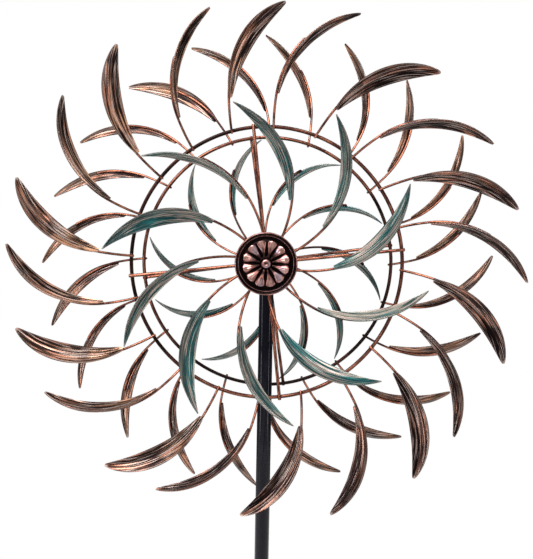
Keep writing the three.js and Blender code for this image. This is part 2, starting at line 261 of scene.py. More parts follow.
def bead(build, centre, size, seed):
    """A small uneven weld bead; size is its three half axes as vectors."""
    wear_and_painted_light, bands, sides = 0.35, 6, 10
    rows = []
    for i in range(1, bands):
        lat = math.pi * i / bands
        row = []
        for j in range(sides):
            lon = 2 * math.pi * j / sides
            d = Vector((math.sin(lat) * math.cos(lon), math.sin(lat) * math.sin(lon), math.cos(lat)))
            lump = 1 + 0.28 * noise.noise(d * 1.7 + Vector((seed * 1.3, seed * 0.7, seed)))
            spot = centre + (size[0] * d.x + size[1] * d.y + size[2] * d.z) * lump
            row.append(build.add(spot, (d.x * 3, d.y * 3, seed), wear_and_painted_light))
        rows.append(row)
    build.grid(rows, wrap=True, flip=True)
    top = build.add(centre + size[2], (0, 0, seed), wear_and_painted_light)
    low = build.add(centre - size[2], (0, 0, seed), wear_and_painted_light)
    for j in range(sides):
        k = (j + 1) % sides
        build.face((top, rows[0][j], rows[0][k]))
        build.face((low, rows[-1][k], rows[-1][j]))


def weld(build, centre, clock, size, seed):
    """A weld bead with its half axes along the radius, across it and along the axle."""
    ways = ((0, 1, 0), (1, 0, 0), (0, 0, 1))
    bead(build, centre, [turned(way, clock) * half_axis for way, half_axis in zip(ways, size)], seed)


def revolve(build, outline, seed, sides=72, axis="Z"):
    """Revolves a closed (radius, height, wear) outline; radius 0 points become poles."""
    def spot(r, h, a):
        if axis == "Z":
            return Vector((r * math.cos(a), r * math.sin(a), h))
        return Vector((r * math.cos(a), -h, r * math.sin(a)))
    rows = []
    along = 0.0
    for i, (r, h, wear_and_painted_light) in enumerate(outline):
        if i:
            along += math.hypot(r - outline[i - 1][0], h - outline[i - 1][1])
        if r == 0:
            rows.append([build.add(spot(0, h, 0), (0, along, seed), wear_and_painted_light)] * sides)
        else:
            angles = [2 * math.pi * j / sides for j in range(sides)]
            rows.append([build.add(spot(r, h, a), (r * a, along, seed), wear_and_painted_light) for a in angles])
    if outline[0][0] > 0:
        rows.append(rows[0])
    for a, b in zip(rows, rows[1:]):
        for j in range(sides):
            k = (j + 1) % sides
            corners = list(dict.fromkeys((a[j], a[k], b[k], b[j])))
            if len(corners) > 2:
                build.face(corners)


def finished(build, name, materials, node_name, body, place=None, sharp=35.0):
    """Makes the piece that stands for a CAD node and body."""
    obj = build.object(name, materials, place, sharp)
    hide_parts(node_name)
    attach(obj, body)
    return obj


# ------------------------------------------------------------------ blades
HALF_ACROSS = [0.0, 0.05, 0.12, 0.24, 0.36, 0.44, 0.5, 0.56, 0.64, 0.78, 0.9, 0.97, 1.0]
ACROSS = [-v for v in HALF_ACROSS[:0:-1]] + HALF_ACROSS
LEAF_STEPS = 56
LINE_STEPS = 400
SHEET = 1  # the leaf's material slot; its wire and welds take slot 0
WIRE_UNDER_LEAF = 0.5
REAR_FLOW_SHIFT = 60.0


def blade_frame(spec, lean, twist):
    """A function of the length along a blade: centre, tangent, across and normal there."""
    total = spec["arm"] + spec["leaf"]

    def on_leaf(s):
        return max(0.0, s - spec["arm"]) / spec["leaf"]

    def heading(s):
        on_arm = min(s, spec["arm"]) / spec["arm"]
        turn = spec["arm_turn"] * on_arm + spec["leaf_turn"] * on_leaf(s)
        return math.radians(spec["heading"] + lean + turn)

    def pitch(s):
        return math.radians(lerp(spec["pitch"][0], spec["pitch"][1], s / total))

    def tangent(s):
        h, p = heading(s), pitch(s)
        return Vector((math.sin(h) * math.cos(p), math.cos(h) * math.cos(p), math.sin(p)))

    ds = total / LINE_STEPS
    line = [Vector((0, spec["radius"], spec["depth"]))]
    for i in range(LINE_STEPS):
        line.append(line[-1] + tangent((i + 0.5) * ds) * ds)

    def at(s):
        h, p = heading(s), pitch(s)
        x = min(max(s / ds, 0.0), LINE_STEPS - 1e-6)
        i = int(x)
        centre = line[i].lerp(line[i + 1], x - i)
        side = Vector((math.cos(h), -math.sin(h), 0))
        out = Vector((-math.sin(h) * math.sin(p), -math.cos(h) * math.sin(p), math.cos(p)))
        roll = math.radians(spec["roll"] + twist + spec["curl"] * on_leaf(s))
        across = side * math.cos(roll) + out * math.sin(roll)
        normal = out * math.cos(roll) - side * math.sin(roll)
        return centre, tangent(s), across, normal
    return at


def leaf_half_width(t, spec):
    o = spec["outline"]
    swell = max(0.0, math.sin(math.pi * t ** o["skew"])) ** o["fullness"]
    return o["tip"] + (o["base"] - o["tip"]) * (1 - t) ** 2 + (spec["half"] - o["tip"] - 0.4) * swell


def leaf_height(v, t, w, widest):
    """Height of the leaf's outer face over its lowest line: a cupped sheet pressed over the wire."""
    fade = smooth(0.0, 0.1, t) * (1 - smooth(0.86, 1.0, t))
    a = abs(v)
    cup = LEAF_CUP * w / widest * a ** 1.35
    over_wire = 0.75 * smooth(0.0, 0.05, t) * (1 - smooth(0.47, 0.56, t)) + 0.3 * fade
    centre = over_wire * math.exp(-((v / 0.11) ** 2))
    side = 0.26 * math.exp(-(((a - 0.52) / 0.09) ** 2)) * fade
    rim = 0.3 * smooth(0.9, 1.0, a) * fade
    return cup + centre + side + rim


def edge_wear(v):
    """Rubbed just inside the leaf's edge, with a dark line left at the edge itself."""
    return smooth(0.82, 0.91, abs(v)) * (1 - smooth(0.94, 1.0, abs(v)))


def leaf_wear_and_light(v, t, bend):
    """Rubbed ridges and edges, with a painted highlight on the flank on the outside of the bend and painted
    shade on the other.
    """
    # Painted light: the flank on the outside of the bend is lightened as a painted highlight, the other
    # darkened as painted shade.
    flank = 0.5 * smooth(-0.35, 0.35, -v * bend) - 0.22
    ridge = math.exp(-((v / 0.1) ** 2)) * (0.35 + 0.65 * (1 - smooth(0.45, 0.58, t)))
    side = 0.45 * math.exp(-(((abs(v) - 0.52) / 0.06) ** 2))
    ends = max(smooth(0.94, 1.0, t), 0.6 * (1 - smooth(0.0, 0.04, t)))
    rubbed_most = max(ridge, side, edge_wear(v), ends)
    return min(1.0, max(rubbed_most, flank) if flank > 0 else rubbed_most + flank)


def leaf_sheet(build, spec, spot, seed, tone_and_painted_light, tone_and_light_fade):
    """The leaf's outer face, inner face and edge. The fade takes the pale tone and the painted highlight it
    carries off the leaf's outer half.
    """
    bend = math.copysign(1.0, spec["leaf_turn"])
    tops, lows = [], []
    for i in range(LEAF_STEPS + 1):
        t = i / LEAF_STEPS
        t = lerp(t, smooth(0.0, 1.0, t), 0.35)
        s = spec["arm"] + spec["leaf"] * t
        w = leaf_half_width(t, spec)
        wave = LEAF_WAVE * noise.noise(Vector((t * 5.0, seed * 3.1, 0.5)))
        # On the outer leaves the tone is a painted highlight near the base; the rear face takes part of it
        # and pales towards the tip.
        face_tone_and_light = tone_and_painted_light * (1 - tone_and_light_fade * smooth(0.3, 0.6, t))
        rear_tone_and_light = max(0.4 * face_tone_and_light, 0.2 * smooth(0.44, 0.6, t))
        top, low = [], []
        for v in ACROSS:
            h = LEAF_SEAT + leaf_height(v, t, w, spec["half"]) + wave * abs(v)
            flow = (s, v * w, seed * 7.3)
            rear_flow = (s, v * w + REAR_FLOW_SHIFT, seed * 7.3 + 3.0)
            outer, inner = spot(s, v * w, h + LEAF_THICKNESS), spot(s, v * w, h)
            top.append(build.add(outer, flow, leaf_wear_and_light(v, t, bend), face_tone_and_light))
            low.append(build.add(inner, rear_flow, 0.7 * edge_wear(v), rear_tone_and_light))
        tops.append(top)
        lows.append(low)
    build.grid(tops, SHEET)
    build.grid(lows, SHEET, flip=True)
    for a, b, c, d in zip(tops, tops[1:], lows, lows[1:]):
        build.face((a[0], b[0], d[0], c[0]), SHEET)
        build.face((b[-1], a[-1], c[-1], d[-1]), SHEET)
    for top, low, turn in ((tops[0], lows[0], 1), (tops[-1], lows[-1], -1)):
        for j in range(len(top) - 1):
            quad = (top[j], top[j + 1], low[j + 1], low[j])
            build.face(quad[::turn], SHEET)


def blade(build, spec, clock, lean, twist, seed, tone_and_painted_light, tone_and_light_fade=0.0):
    """A wire arm that runs on under its leaf, the leaf, and the two weld beads between them."""
    at = blade_frame(spec, lean, twist)

    def spot(s, v, h):
        centre, _, across, normal = at(s)
        return turned(centre + across * v + normal * h, clock)

    run = spec["arm"] + spec["leaf"] * WIRE_UNDER_LEAF
    stops = rounded_stops(run, 0.35, 0.9, 34)
    radii = [rounded_radius(s, run, ARM_R, 0.5, 0.6) for s in stops]
    tube(build, [spot(s, 0, 0) for s in stops], radii, seed)
    leaf_sheet(build, spec, spot, seed, tone_and_painted_light, tone_and_light_fade)
    for s, size, shift in ((spec["arm"] + 2.0, (3.4, 2.1, 1.2), 0.4), (run - 0.8, (2.6, 1.9, 1.1), 0.6)):
        half_axes = [turned(way, clock) * k for way, k in zip(at(s)[1:], size)]
        bead(build, spot(s, 0, 0.9), half_axes, seed + shift)
    return at


# ------------------------------------------------------------------ materials
def new_material(name):
    material = bpy.data.materials.new(name)
    material.use_nodes = True
    tree = material.node_tree
    tree.nodes.clear()
    out = node(tree, "ShaderNodeOutputMaterial")
    shader = node(tree, "ShaderNodeBsdfPrincipled")
    tree.links.new(shader.outputs["BSDF"], out.inputs["Surface"])
    return material, tree, shader


def node(tree, kind, **values):
    n = tree.nodes.new(kind)
    for key, value in values.items():
        setattr(n, key, value)
    return n


def attribute(tree, name, output="Fac"):
    return node(tree, "ShaderNodeAttribute", attribute_name=name).outputs[output]


def scaled_noise(tree, vector, scale, detail=5.0, roughness=0.6, distortion=0.0):
    mapping = node(tree, "ShaderNodeMapping")
    mapping.inputs["Scale"].default_value = scale
    tree.links.new(vector, mapping.inputs["Vector"])
    n = node(tree, "ShaderNodeTexNoise")
    n.inputs["Scale"].default_value = 1.0
    n.inputs["Detail"].default_value = detail
    n.inputs["Roughness"].default_value = roughness
    n.inputs["Distortion"].default_value = distortion
    tree.links.new(mapping.outputs["Vector"], n.inputs["Vector"])
    return n.outputs["Fac"]


def object_noise(tree, scale, detail=4.0, roughness=0.55):
    where = node(tree, "ShaderNodeTexCoord").outputs["Object"]
    scale = scale if isinstance(scale, tuple) else (scale, scale, scale)
    return scaled_noise(tree, where, scale, detail, roughness)


def ramp(tree, value, low, high):
    """Maps low..high smoothly to 0..1."""
    n = node(tree, "ShaderNodeMapRange", interpolation_type="SMOOTHSTEP")
    n.inputs["From Min"].default_value = low
    n.inputs["From Max"].default_value = high
    tree.links.new(value, n.inputs["Value"])
    return n.outputs["Result"]


def span(tree, value, low, high):
    """Maps 0..1 to low..high."""
    n = node(tree, "ShaderNodeMapRange")
    n.inputs["To Min"].default_value = low
    n.inputs["To Max"].default_value = high
    tree.links.new(value, n.inputs["Value"])
    return n.outputs["Result"]


def math_node(tree, operation, a, b):
    n = node(tree, "ShaderNodeMath", operation=operation)
    for socket, value in zip(n.inputs, (a, b)):
        if isinstance(value, (int, float)):
            socket.default_value = value
        else:
            tree.links.new(value, socket)
    return n.outputs["Value"]


def times(tree, a, b):
    return math_node(tree, "MULTIPLY", a, b)


def plus(tree, a, b):
    return math_node(tree, "ADD", a, b)


def blend_colour(tree, factor, a, b):
    """Mixes two colours, each a tuple or a socket. A Mix node's colour sockets are 6, 7 and 2."""
    n = node(tree, "ShaderNodeMix", data_type="RGBA")
    tree.links.new(factor, n.inputs[0])
    for socket, value in ((n.inputs[6], a), (n.inputs[7], b)):
        if isinstance(value, tuple):
            socket.default_value = (*value, 1.0)
        else:
            tree.links.new(value, socket)
    return n.outputs[2]


def bump(tree, shader, heights):
    """Chains (height, strength, distance) bumps into the shader's normal."""
    last = None
    for height, strength, distance in heights:
        n = node(tree, "ShaderNodeBump")
        n.inputs["Strength"].default_value = strength
        n.inputs["Distance"].default_value = distance
        tree.links.new(height, n.inputs["Height"])
        if last:
            tree.links.new(last, n.inputs["Normal"])
        last = n.outputs["Normal"]
    tree.links.new(last, shader.inputs["Normal"])


def surface(tree, shader, colour, roughness, metallic=0.0, specular=None):
    """Sets a shader's colour and roughness from sockets, and its constants directly."""
    tree.links.new(colour, shader.inputs["Base Color"])
    tree.links.new(roughness, shader.inputs["Roughness"])
    shader.inputs["Metallic"].default_value = metallic
    if specular is not None:
        shader.inputs["Specular IOR Level"].default_value = specular


def brushed_leaf(name, deep, body, streak, rub, pale_and_highlight, metallic, painted_shade_and_smoke, flank_highlight_and_rubbing):
    """Dark paint with lengthwise dry-brushed streaks, rubbed ridges and edges, a painted highlight on the
    outer flank and painted shade in the inner one, and a pale tone.

    The last two numbers set how far the painted shade in the inner flank and the smoky patches darken, and
    how far the painted highlight on the outer flank and the rubbed ridges and edges are streaked.
    """
    material, tree, shader = new_material(name)
    flow = attribute(tree, "flow", "Vector")
    wear_and_painted_light, tone_and_painted_light = attribute(tree, "wear_and_painted_light"), attribute(tree, "tone_and_painted_light")
    patch = object_noise(tree, 17.0)
    smoke = object_noise(tree, 26.0, 3.0)
    blotch = scaled_noise(tree, flow, (0.03, 0.16, 1.0), detail=5)
    brush = scaled_noise(tree, flow, (0.022, 0.36, 1.0), detail=2, roughness=0.5, distortion=0.2)
    fine = scaled_noise(tree, flow, (0.025, 0.85, 1.0), detail=1, roughness=0.5)
    speck = scaled_noise(tree, flow, (0.25, 0.5, 1.0), detail=3, roughness=0.6)
    fading = scaled_noise(tree, flow, (0.035, 0.05, 1.0), detail=2)
    flank = times(tree, ramp(tree, wear_and_painted_light, 0.02, 0.4), ramp(tree, brush, 0.36, 0.6))
    worn = times(tree, ramp(tree, wear_and_painted_light, 0.4, 1.0), ramp(tree, fading, 0.3, 0.55))
    colour = blend_colour(tree, ramp(tree, blotch, 0.42, 0.72), deep, body)
    for amount, paint in (
        # A pale tone, which on the bronze leaves is a painted highlight at the bases of the leaves near one
        # clock angle.
        (times(tree, tone_and_painted_light, ramp(tree, brush, 0.34, 0.6)), pale_and_highlight),
        (times(tree, ramp(tree, brush, 0.5, 0.64), ramp(tree, patch, 0.36, 0.6)), streak),
        # Streaks on the outer flank, where the leaf takes a painted highlight, and on the rubbed ridges and
        # edges.
        (times(tree, flank, flank_highlight_and_rubbing), streak),
        # Painted shade: the inner flank of the leaf is darkened.
        (times(tree, ramp(tree, wear_and_painted_light, 0.05, -0.2), painted_shade_and_smoke), deep),
        (times(tree, ramp(tree, smoke, 0.49, 0.36), painted_shade_and_smoke), deep),
        (times(tree, ramp(tree, fine, 0.54, 0.66), 0.55), rub),
        (times(tree, ramp(tree, fine, 0.49, 0.38), 0.92), deep),
        (times(tree, worn, 0.62), rub),
        (times(tree, ramp(tree, speck, 0.64, 0.72), 0.2), deep),
    ):
        colour = blend_colour(tree, amount, colour, paint)
    satin = plus(tree, span(tree, brush, 0.5, 0.3), times(tree, worn, 0.25))
    surface(tree, shader, colour, satin, metallic, specular=0.15)
    bump(tree, shader, [(blotch, 0.3, 0.0012), (brush, 0.04, 0.0003)])
    return material


def copper_wire(name, deep, body, bright):
    """Antique copper over black: bright on the worn places and where the skin takes a painted highlight,
    near black in long patches and in the painted shade at the wire's sides.
    """
    material, tree, shader = new_material(name)
    flow, wear_and_painted_light = attribute(tree, "flow", "Vector"), attribute(tree, "wear_and_painted_light")
    patch = object_noise(tree, 13.0, detail=3.0)
    streak = scaled_noise(tree, flow, (0.05, 0.5, 1.0), detail=6, roughness=0.65)
    speck = scaled_noise(tree, flow, (1.1, 1.8, 1.0), detail=5, roughness=0.65)
    # The skin's wear carries a painted highlight to the front and back and painted shade at the sides, so
    # these masks paint light and shade as well as wear.
    kept_and_side_shade = plus(tree, patch, times(tree, wear_and_painted_light, 0.3))
    worn_and_lit = times(tree, wear_and_painted_light, ramp(tree, streak, 0.3, 0.6))
    shown = times(tree, ramp(tree, worn_and_lit, 0.25, 0.9), ramp(tree, patch, 0.36, 0.5))
    colour = blend_colour(tree, ramp(tree, kept_and_side_shade, 0.46, 0.66), deep, body)
    colour = blend_colour(tree, shown, colour, bright)
    colour = blend_colour(tree, times(tree, ramp(tree, speck, 0.6, 0.75), 0.6), colour, deep)
    surface(tree, shader, colour, span(tree, speck, 0.5, 0.3), metallic=0.85, specular=0.2)
    bump(tree, shader, [(streak, 0.2, 0.0003), (speck, 0.15, 0.0001)])
    return material


def cover_copper(name, deep, body, bright, lilac):
    """Antiqued copper whose recesses stay near black and whose high places are rubbed bright."""
    material, tree, shader = new_material(name)
    flow, wear_and_painted_light = attribute(tree, "flow", "Vector"), attribute(tree, "wear_and_painted_light")
    cloud = scaled_noise(tree, flow, (0.16, 0.16, 1.0), detail=6, roughness=0.6)
    speck = scaled_noise(tree, flow, (1.3, 1.3, 1.0), detail=5, roughness=0.65)
    raised = plus(tree, wear_and_painted_light, times(tree, cloud, 0.55))
    cool = times(tree, ramp(tree, raised, 0.6, 1.0), ramp(tree, object_noise(tree, 90.0), 0.5, 0.62))
    colour = blend_colour(tree, ramp(tree, raised, 0.42, 0.86), deep, body)
    colour = blend_colour(tree, ramp(tree, raised, 0.86, 1.24), colour, bright)
    colour = blend_colour(tree, times(tree, cool, 0.7), colour, lilac)
    colour = blend_colour(tree, times(tree, ramp(tree, speck, 0.6, 0.75), 0.5), colour, deep)
    surface(tree, shader, colour, span(tree, speck, 0.4, 0.18), metallic=0.9)
    bump(tree, shader, [(cloud, 0.15, 0.0004), (speck, 0.2, 0.0001)])
    return material


def gloss_black(name, deep, dusty):
    """Black powder coat with slight orange peel and dust."""
    material, tree, shader = new_material(name)
    peel = object_noise(tree, 420, detail=2, roughness=0.4)
    dust = object_noise(tree, (60, 60, 25), detail=6, roughness=0.65)
    colour = blend_colour(tree, ramp(tree, dust, 0.45, 0.8), deep, dusty)
    surface(tree, shader, colour, span(tree, dust, 0.07, 0.16), specular=0.12)
    bump(tree, shader, [(peel, 0.12, 0.0002)])
    return material


def plain_metal(name, low, high, scale, rough):
    """Bare metal with grain in its colour and fine spots in its roughness."""
    material, tree, shader = new_material(name)
    grain = object_noise(tree, scale, detail=6, roughness=0.65)
    spots = object_noise(tree, 900, detail=3, roughness=0.6)
    colour = blend_colour(tree, ramp(tree, grain, 0.35, 0.65), low, high)
    surface(tree, shader, colour, span(tree, spots, *rough), metallic=1.0)
    bump(tree, shader, [(spots, 0.2, 0.0001)])
    return material


# The bronze leaves' pale colour is the painted highlight on the leaves near one clock angle.
BRONZE_LEAF = brushed_leaf(
    "bronze_leaf", deep=(0.005, 0.002, 0.002), body=(0.058, 0.029, 0.028), streak=(0.56, 0.24, 0.15),
    rub=(0.50, 0.39, 0.35), pale_and_highlight=(0.88, 0.47, 0.26), metallic=0.7, painted_shade_and_smoke=0.85, flank_highlight_and_rubbing=0.2)
VERDIGRIS_LEAF = brushed_leaf(
    "verdigris_leaf", deep=(0.004, 0.036, 0.038), body=(0.012, 0.135, 0.135), streak=(0.27, 0.20, 0.175),
    rub=(0.48, 0.37, 0.31), pale_and_highlight=(0.40, 0.37, 0.31), metallic=0.45, painted_shade_and_smoke=0.1, flank_highlight_and_rubbing=0.3)
COPPER = copper_wire(
    "antique_copper", deep=(0.012, 0.006, 0.005), body=(0.055, 0.020, 0.015), bright=(0.46, 0.17, 0.10))
COVER_COPPER = cover_copper(
    "cover_copper", deep=(0.006, 0.002, 0.002), body=(0.19, 0.078, 0.066), bright=(0.86, 0.48, 0.42),
    lilac=(0.40, 0.34, 0.42))
BLACK = gloss_black("gloss_black", deep=(0.005, 0.005, 0.008), dusty=(0.012, 0.012, 0.017))
ZINC = plain_metal(
    "zinc_steel", low=(0.42, 0.42, 0.43), high=(0.62, 0.62, 0.63), scale=(300, 30, 300), rough=(0.28, 0.45))
BUSH = plain_metal(
    "sintered_bronze", low=(0.22, 0.13, 0.055), high=(0.42, 0.27, 0.12), scale=500, rough=(0.5, 0.7))


# ------------------------------------------------------------------ rotors
RING_WELD_AT = 3.6
# The clock angle of the leaves that get a painted highlight at their bases.
PAINTED_LIGHT_CLOCK = 275
LEAF_SHARP = 65


def make_blades(side, rotor, body):
    for k in range(OUTER_LEAVES):
        build = Build()
        spec = dict(NARROW, curl=rotor["narrow_curl"]) if k % 2 == 0 else WIDE
        seed = k * 1.37 + (40 if side == "back" else 0)
        clock = rotor["arm"] + OUTER_STEP * k
        # Painted highlight: leaves near that clock angle are paled at their bases.
        tone_and_painted_light = 0.8 * max(0.0, math.cos(math.radians(clock - PAINTED_LIGHT_CLOCK)))
        at = blade(build, spec, clock, rotor["lean"][k], rotor["twist"][k], seed, tone_and_painted_light, tone_and_light_fade=0.85)
        seat = at(RING_WELD_AT)[0] - Vector((0, 0, ARM_R * 0.9))
        weld(build, turned(seat, clock), clock, (2.3, 2.9, 1.5), seed + 0.2)
        node_name = f"{side}_leaf_{k + 1:02d}"
        finished(build, f"{node_name}_fine", [COPPER, BRONZE_LEAF], node_name, body,
                 rotor_matrix(rotor), LEAF_SHARP)


def make_flower(side, rotor, body):
    build = Build()
    for k in range(INNER_LEAVES):
        spec = INNER_OPEN if k % 2 == 0 else INNER_CLOSED
        seed = 90 + k * 1.91 + (30 if side == "back" else 0)
        clock = rotor["flower"] + INNER_STEP * k
        at = blade(build, spec, clock, rotor["flower_lean"][k], rotor["flower_twist"][k], seed,
                   rotor["flower_tone"][k])
        foot = at(1.8)[0] + Vector((0, 0.6, 0))
        weld(build, turned(foot, clock), clock, (2.6, 2.6, 2.0), seed + 0.8)
    flange = [
        (11.7, 80.4, 0.6), (12.1, 80.0, 0.6), (16.1, 80.0, 0.6), (16.5, 80.4, 0.9),
        (16.5, 90.1, 0.9), (16.1, 90.5, 0.6), (12.1, 90.5, 0.6), (11.7, 90.1, 0.6),
    ]
    revolve(build, flange, 5.0, axis="Y")
    finished(build, f"{side}_inner_flower_fine", [COPPER, VERDIGRIS_LEAF], f"{side}_inner_flower",
             body, rotor_matrix(rotor), LEAF_SHARP)


def ring(build, unrubbed_clock, seed):
    """The wheel's round wire, slightly uneven, hardly rubbed around one clock angle, with a painted
    highlight on its faces to the front and back and painted shade at its sides.
    """
    around, sides = 300, 16
    rows = []
    for i in range(around):
        a = 2 * math.pi * i / around
        unrubbed = smooth(0.5, 0.9, 0.5 + 0.5 * math.cos(a - math.radians(unrubbed_clock)))
        wander = 0.25 * noise.noise(Vector((math.cos(a) * 1.5, math.sin(a) * 1.5, seed)))
        row = []
        for j in range(sides):
            b = 2 * math.pi * j / sides
            point = circle(RING_R + wander + RING_WIRE_R * math.cos(b), a,
                           RING_DEPTH + RING_WIRE_R * math.sin(b))
            # Wear around the ring, times the painted highlight and shade of the wire's skin.
            wear_and_painted_light = (0.7 - 0.65 * unrubbed) * painted_facing_light(circle(math.cos(b), a, math.sin(b)))
            row.append(build.add(point, (a * RING_R, b * RING_WIRE_R, seed), wear_and_painted_light))
        rows.append(row)
    build.grid(rows + [rows[0]], wrap=True)


def make_wheel(side, rotor, body):
    build = Build()
    seed = 3.0 if side == "front" else 8.0
    ring(build, rotor["unrubbed"], seed)
    length = SPOKE_END - SPOKE_START
    stops = rounded_stops(length, 0.24, 0.8, 40)
    radii = [rounded_radius(s, length, SPOKE_R, 0.48, 0.62) for s in stops]
    for k in range(4):
        clock = rotor["spoke"] + 90 * k
        points = [rotor_point(0, SPOKE_START + s, SPOKE_DEPTH, clock) for s in stops]
        tube(build, points, radii, seed + k, sides=16)
        at_ring = rotor_point(0, RING_R, SPOKE_DEPTH - 1.8, clock)
        weld(build, at_ring, clock, (2.9, 3.4, 1.6), seed + k + 0.3)
        at_sleeve = rotor_point(0, SLEEVE_WELD_R, SPOKE_DEPTH, clock)
        weld(build, at_sleeve, clock, (2.2, 3.2, 3.2), seed + k + 0.5)
    sleeve = [
        (11.7, 42.4, 0.4), (12.1, 42.0, 0.4), (14.5, 42.0, 0.4), (15.0, 42.5, 0.8),
        (15.0, 53.5, 0.8), (14.5, 54.0, 0.4), (12.1, 54.0, 0.4), (11.7, 53.6, 0.4),
    ]
    revolve(build, sleeve, seed, axis="Y")
    finished(build, f"{side}_wheel_frame_fine", [COPPER], f"{side}_wheel_frame", body,
             rotor_matrix(rotor))


def make_hub_tube(side, rotor, body):
    build = Build()
    revolve(build, [
        (9.0, 24.9, 0.5), (9.4, 24.5, 0.5), (10.9, 24.5, 0.6), (11.3, 24.9, 0.9), (11.3, 95.6, 0.9),
        (10.9, 96.0, 0.6), (9.4, 96.0, 0.5), (9.0, 95.6, 0.5),
    ], 6.0, axis="Y")
    finished(build, f"{side}_hub_tube_fine", [COPPER], f"{side}_hub_tube", body,
             rotor_matrix(rotor))


# ------------------------------------------------------------------ hub cover
BOSS_R, BOSS_GROOVE_R, PETAL_END_R, DISH_R, RIM_R = 5.6, 7.2, 26.4, 32.2, 35.5
PETALS = 12
PETAL_STEP = 2 * math.pi / PETALS
PETAL_PHASE = math.radians(16.5)
PETAL_ROUND_R = 23.4


def cover_height(r, angle):
    """Depth and wear of the hub cover's outer face at a radius and an angle."""
    if r < BOSS_R:
        boss = math.sqrt(max(0.0, 1 - (r / 6.0) ** 2))
        dimple = math.exp(-((r / 1.7) ** 2))
        return 105.4 + 3.2 * boss - 1.5 * dimple, (0.1 + 0.75 * smooth(0.4, 0.9, boss)) * (1 - dimple)
    if r < BOSS_GROOVE_R:
        return 104.6, 0.0
    if r < PETAL_END_R:
        phase = (angle - PETAL_PHASE) % PETAL_STEP
        off_middle = min(phase, PETAL_STEP - phase) * r
        half_width = 0.5 * PETAL_STEP * r * lerp(0.5, 0.93, smooth(9.0, 23.5, r))
        if r > PETAL_ROUND_R:
            half_width *= max(0.0, 1 - ((r - PETAL_ROUND_R) / 3.0) ** 3) ** 0.45
        bulge = max(0.0, 1 - (off_middle / max(half_width, 0.05)) ** 2) ** 0.6
        vein = 0.45 * math.exp(-((off_middle / 0.5) ** 2)) * smooth(9, 13, r) * (1 - smooth(20, 24, r))
        rise = lerp(0.8, 2.6, smooth(BOSS_GROOVE_R, 18.0, r))
        wear_and_painted_light = bulge * lerp(0.3, 0.9, smooth(9.0, 21.0, r)) * (1 - 0.5 * vein)
        return 104.3 + (rise - vein) * bulge, wear_and_painted_light
    if r < DISH_R:
        line = math.exp(-(((r - 31.4) / 0.45) ** 2))
        return 104.1 + 0.9 * line, line
    crown = math.sqrt(max(0.0, 1 - ((r - 33.9) / 1.8) ** 2))
    return 104.1 + 2.3 * crown, 0.1 + 0.75 * math.exp(-(((r - 34.9) / 0.45) ** 2))


COVER_RADII = [0.6, 1.4, 2.2, 3.0, 3.8, 4.6, 5.2, 5.6, 5.9, 6.4, 7.0, 7.5, 8.2]
COVER_RADII += [8.2 + 0.6 * k for k in range(1, 30)]
COVER_RADII += [25.9, 26.2, 26.5, 27.3, 28.5, 29.6, 30.2, 30.5, 30.8, 31.1, 31.4, 31.7, 32.0, 32.2]
COVER_RADII += [32.5, 32.9, 33.4, 33.9, 34.4, 34.9, 35.3, RIM_R]
# The cover's back as (radius, depth), in to the collar that sits in the hub tube.
COVER_BACK = [
    (RIM_R, 102.5), (35.2, 102.2), (34.4, 102.0), (13.4, 103.0), (13.3, 102.8), (13.3, 91.3),
    (13.0, 91.0), (12.0, 91.0), (11.7, 91.3), (11.7, 103.9), (11.3, 104.3)]
COVER_SIDES = 360


def make_cover(side, rotor, body):
    build = Build()
    angles = [2 * math.pi * j / COVER_SIDES for j in range(COVER_SIDES)]
    rows = []
    for r in COVER_RADII:
        row = []
        for a in angles:
            depth, wear_and_painted_light = cover_height(r, a)
            point = circle(r, a, depth)
            row.append(build.add(point, (point.x, point.z, 2.0), wear_and_painted_light))
        rows.append(row)
    hub = build.add((0, -cover_height(0, 0)[0], 0), (0, 0, 2.0), 0.6)
    for j in range(COVER_SIDES):
        build.face((hub, rows[0][j], rows[0][(j + 1) % COVER_SIDES]))
    for r, depth in COVER_BACK:
        rows.append([build.add(circle(r, a, depth), (r * a, depth, 4.0), 0.5) for a in angles])
    build.grid(rows, wrap=True)
    centre = build.add((0, -COVER_BACK[-1][1], 0), (0, 0, 4.0), 0.5)
    for j in range(COVER_SIDES):
        build.face((centre, rows[-1][(j + 1) % COVER_SIDES], rows[-1][j]))
    finished(build, f"{side}_hub_cover_fine", [COVER_COPPER], f"{side}_hub_cover", body,
             rotor_matrix(rotor), 50)


for rotor_side, rotor_spec in ROTORS.items():
    for make in (make_blades, make_flower, make_wheel, make_cover, make_hub_tube):
        make(rotor_side, rotor_spec, f"{rotor_side}_rotor")


# ------------------------------------------------------------------ stand
HEAD = Matrix.Translation((0, 0, AXLE_HEIGHT))


def stand_piece(build, name, material, node_name, sharp=35.0):
    return finished(build, name, [material], node_name, "stand", None, sharp)


def pole_section(name, bottom, top):
    """A tube whose swaged spigot reaches up into the next section."""
    build = Build()
    revolve(build, [
        (8.2, bottom + 0.4, 0.5), (8.5, bottom, 0.5), (8.7, bottom, 0.6), (9.0, bottom + 0.5, 0.8),
        (9.0, top - 0.8, 0.8), (8.8, top - 0.2, 0.8), (8.2, top, 0.6), (7.9, top + 0.4, 0.5),
        (7.9, top + 48.5, 0.5), (7.5, top + 50, 0.5), (7.1, top + 50, 0.5), (7.1, top - 6, 0.5),
        (8.2, top - 8, 0.5),
    ], 1.0)
    stand_piece(build, f"{name}_fine", BLACK, name)


pole_section("pole_lower", 5.3, 475.0)
pole_section("pole_middle", 475.3, 942.0)

